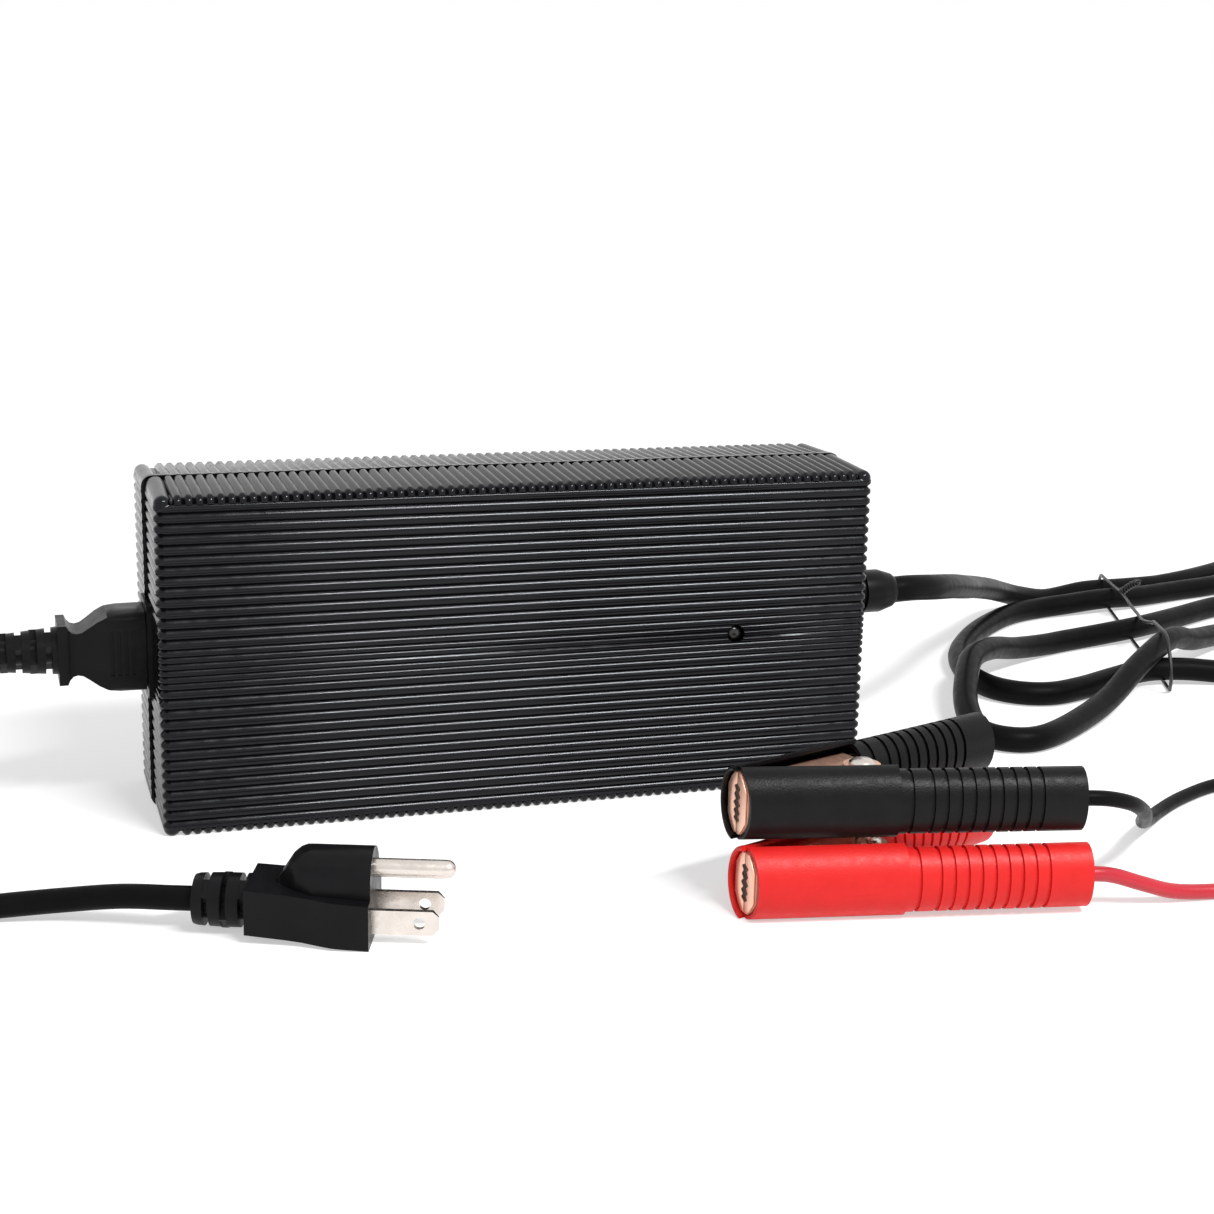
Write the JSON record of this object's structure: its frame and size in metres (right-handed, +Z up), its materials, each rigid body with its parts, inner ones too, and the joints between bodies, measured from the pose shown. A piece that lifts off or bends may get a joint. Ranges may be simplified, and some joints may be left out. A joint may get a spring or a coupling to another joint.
{
  "type": "car battery charger",
  "caption": "Ribbed car battery charger with a detachable mains lead, a tied output cable and spring clamps for the battery posts.",
  "frame": {"origin": "centre of the bottom of the charger's case, on the ground, measured without the leads and what is on them", "axes": "+X along the case towards the output cable, -Y out of the face with the indicator light, +Z up"},
  "size_m": [0.7434, 0.356, 0.0996],
  "materials": {
    "case_plastic": "fine-grained black injection moulding",
    "plated_steel": "nickel plated",
    "cord_sheath": "smooth glossy black flexible sheath",
    "red_sheath": "smooth glossy red flexible sheath",
    "black_vinyl": "soft satin black vinyl",
    "red_vinyl": "soft satin red vinyl",
    "copper_plate": "copper plated",
    "board_laminate": "green laminate",
    "insulation": "smooth sheet and tape",
    "component_shell": "moulded",
    "ferrite": "ground ferrite",
    "winding_copper": "enamelled wire",
    "sink_aluminium": "mill finish",
    "clear_lens": "polished"
  },
  "bodies": {
    "charger": {"front_cover": "case_plastic", "rear_cover": "case_plastic", "cover_screws": "plated_steel", "mains_inlet": "case_plastic", "inlet_blades": "plated_steel", "inlet_wires": "cord_sheath", "circuit_board": "board_laminate", "board_screws": "plated_steel", "insulation_sheet": "insulation", "input_fuse": "clear_lens", "x_capacitor": "component_shell", "emi_choke": "winding_copper", "bridge_rectifier": "component_shell", "bulk_capacitors": "component_shell", "primary_heat_sink": "sink_aluminium", "power_transistors": "component_shell", "transformer_core": "ferrite", "transformer_winding": "insulation", "secondary_heat_sink": "sink_aluminium", "output_rectifiers": "component_shell", "output_inductor": "winding_copper", "output_capacitors": "component_shell", "indicator_led": "clear_lens", "led_wires": "red_sheath", "output_wires": "cord_sheath", "output_strain_relief": "case_plastic", "output_cable_lead": "cord_sheath", "output_cable_hank": "cord_sheath", "output_cable_tail": "cord_sheath", "output_cable_tie": "cord_sheath", "cable_splitter": "case_plastic", "black_lead": "cord_sheath", "red_lead": "red_sheath", "black_clamp_fixed_jaw": "copper_plate", "black_clamp_fixed_sleeve": "black_vinyl", "black_clamp_rivet": "plated_steel", "black_clamp_spring": "plated_steel", "black_clamp_crimp": "copper_plate", "red_clamp_fixed_jaw": "copper_plate", "red_clamp_fixed_sleeve": "red_vinyl", "red_clamp_rivet": "plated_steel", "red_clamp_spring": "plated_steel", "red_clamp_crimp": "copper_plate"},
    "mains_lead": {"connector_body": "case_plastic", "connector_contacts": "plated_steel", "connector_strain_relief": "case_plastic", "mains_cord_connector_end": "cord_sheath", "mains_cord_coil": "cord_sheath", "mains_cord_plug_end": "cord_sheath", "mains_coil_tie": "cord_sheath", "plug_body": "case_plastic", "plug_blades": "plated_steel", "plug_ground_pin": "plated_steel", "plug_strain_relief": "case_plastic"},
    "black_moving_half": {"black_clamp_moving_jaw": "copper_plate", "black_clamp_moving_sleeve": "black_vinyl", "black_clamp_spring_leg": "plated_steel"},
    "red_moving_half": {"red_clamp_moving_jaw": "copper_plate", "red_clamp_moving_sleeve": "red_vinyl", "red_clamp_spring_leg": "plated_steel"}
  },
  "joints": [
    {"name": "connector_pull", "type": "slide", "parent": "charger", "child": "mains_lead", "axis": [-1, 0, 0], "range_m": [0, 0.024]},
    {"name": "black_clamp_hinge", "type": "hinge", "parent": "charger", "child": "black_moving_half", "pos_m": [0.067, -0.1152, 0.03], "axis": [0, 0, -1], "range_deg": [0, 30], "stiffness_Nm_per_rad": 0.8, "springref_deg": -22.92},
    {"name": "red_clamp_hinge", "type": "hinge", "parent": "charger", "child": "red_moving_half", "pos_m": [0.0678, -0.1199, 0.0099], "axis": [0, 0, -1], "range_deg": [0, 30], "stiffness_Nm_per_rad": 0.8, "springref_deg": -22.92}
  ]
}
